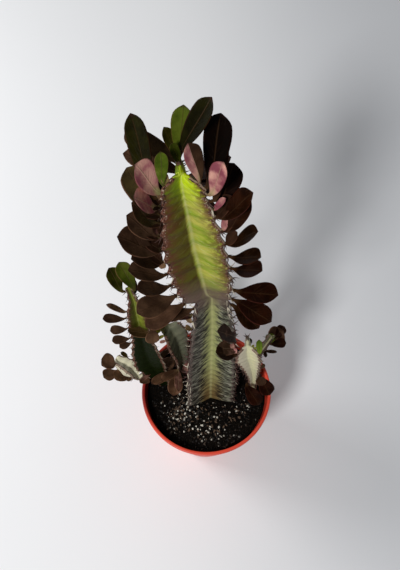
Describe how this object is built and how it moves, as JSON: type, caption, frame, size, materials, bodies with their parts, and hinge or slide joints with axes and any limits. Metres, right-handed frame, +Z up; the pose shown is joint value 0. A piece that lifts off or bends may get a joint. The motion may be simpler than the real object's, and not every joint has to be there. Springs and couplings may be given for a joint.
{
  "type": "potted euphorbia",
  "caption": "Three-winged columnar succulent with maroon spoon-shaped leaves and low side shoots, planted in soil in a round thin-walled red plastic nursery pot.",
  "frame": {"origin": "centre of the pot's flat foot, on the surface it stands on", "axes": "+Z up; the front of the pot and the open face of the stem look along -Y; +X to the right seen from the front"},
  "size_m": [0.1667, 0.1299, 0.4691],
  "materials": {
    "red_plastic": "satin thin-walled moulded plastic",
    "potting_mix": "loose dark peat mix with pale grains",
    "winged_stem": "smooth waxy plant skin, green with maroon edges",
    "leaf_skin": "waxy dark maroon leaf skin"
  },
  "bodies": {
    "root": {"leaf_back_01": "leaf_skin", "leaf_back_02": "leaf_skin", "leaf_back_03": "leaf_skin", "leaf_back_04": "leaf_skin", "leaf_back_05": "leaf_skin", "leaf_back_06": "leaf_skin", "leaf_back_07": "leaf_skin", "leaf_back_08": "leaf_skin", "leaf_back_09": "leaf_skin", "leaf_back_10": "leaf_skin", "leaf_back_11": "leaf_skin", "leaf_left_01": "leaf_skin", "leaf_left_02": "leaf_skin", "leaf_left_03": "leaf_skin", "leaf_left_04": "leaf_skin", "leaf_left_05": "leaf_skin", "leaf_left_06": "leaf_skin", "leaf_left_07": "leaf_skin", "leaf_left_08": "leaf_skin", "leaf_left_09": "leaf_skin", "leaf_left_10": "leaf_skin", "leaf_left_11": "leaf_skin", "leaf_left_12": "leaf_skin", "leaf_left_13": "leaf_skin", "leaf_left_14": "leaf_skin", "leaf_right_01": "leaf_skin", "leaf_right_02": "leaf_skin", "leaf_right_03": "leaf_skin", "leaf_right_04": "leaf_skin", "leaf_right_05": "leaf_skin", "leaf_right_06": "leaf_skin", "leaf_right_07": "leaf_skin", "leaf_right_08": "leaf_skin", "leaf_right_09": "leaf_skin", "leaf_right_10": "leaf_skin", "leaf_right_11": "leaf_skin", "leaf_right_12": "leaf_skin", "leaf_right_13": "leaf_skin", "main_stem": "winged_stem", "pot": "red_plastic", "shoot_left_low": "winged_stem", "shoot_left_low_leaf_1": "leaf_skin", "shoot_left_low_leaf_2": "leaf_skin", "shoot_left_near": "winged_stem", "shoot_left_tall": "winged_stem", "shoot_left_tall_leaf_1": "leaf_skin", "shoot_left_tall_leaf_2": "leaf_skin", "shoot_left_tall_leaf_3": "leaf_skin", "shoot_left_tall_leaf_4": "leaf_skin", "shoot_left_tall_leaf_5": "leaf_skin", "shoot_left_tall_leaf_6": "leaf_skin", "shoot_left_tall_leaf_7": "leaf_skin", "shoot_right": "winged_stem", "shoot_right_far": "winged_stem", "shoot_right_far_leaf_1": "leaf_skin", "shoot_right_far_leaf_2": "leaf_skin", "shoot_right_leaf_1": "leaf_skin", "shoot_right_leaf_2": "leaf_skin", "shoot_right_leaf_3": "leaf_skin", "soil": "potting_mix"}
  },
  "joints": []
}
